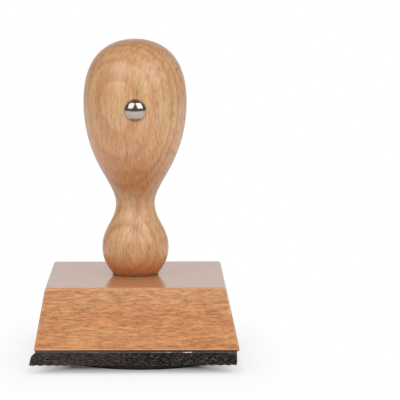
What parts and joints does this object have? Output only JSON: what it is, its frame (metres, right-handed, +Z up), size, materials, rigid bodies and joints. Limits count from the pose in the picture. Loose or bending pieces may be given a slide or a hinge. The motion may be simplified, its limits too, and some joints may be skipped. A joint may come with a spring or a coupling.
{
  "type": "craft stamp",
  "caption": "Hand stamp with a turned pear-shaped beech handle on a sloped beech block, over a foam cushion and a rubber die with a raised ornament.",
  "frame": {"origin": "on the printing face, the lowest face of the die, on the handle's axis", "axes": "+Z up along the handle, -Y towards the front, the side of the bulb that carries the stud, +X to the right as the front is looked at"},
  "size_m": [0.0593, 0.0702, 0.0932],
  "materials": {
    "beech": "clear satin lacquer over fine-grained beech",
    "polished_steel": "polished, bright",
    "zinc_plated_steel": "zinc plate, satin",
    "adhesive_film": "thin translucent adhesive film",
    "charcoal_foam": "matt open-cell foam with a knife-cut edge",
    "black_rubber": "smooth matt vulcanised rubber"
  },
  "bodies": {
    "stamp": {"handle": "beech", "orientation_stud": "polished_steel", "mounting_block": "beech", "handle_screw": "zinc_plated_steel", "upper_adhesive_film": "adhesive_film", "foam_cushion": "charcoal_foam"},
    "printing_die": {"lower_adhesive_film": "adhesive_film", "rubber_die": "black_rubber"}
  },
  "joints": [
    {"name": "cushion_press", "type": "slide", "parent": "stamp", "child": "printing_die", "axis": [0, 0, 1], "range_m": [0, 0.001], "stiffness_N_per_m": 6000, "springref_m": -0.0005, "deforming": ["foam_cushion"]}
  ]
}
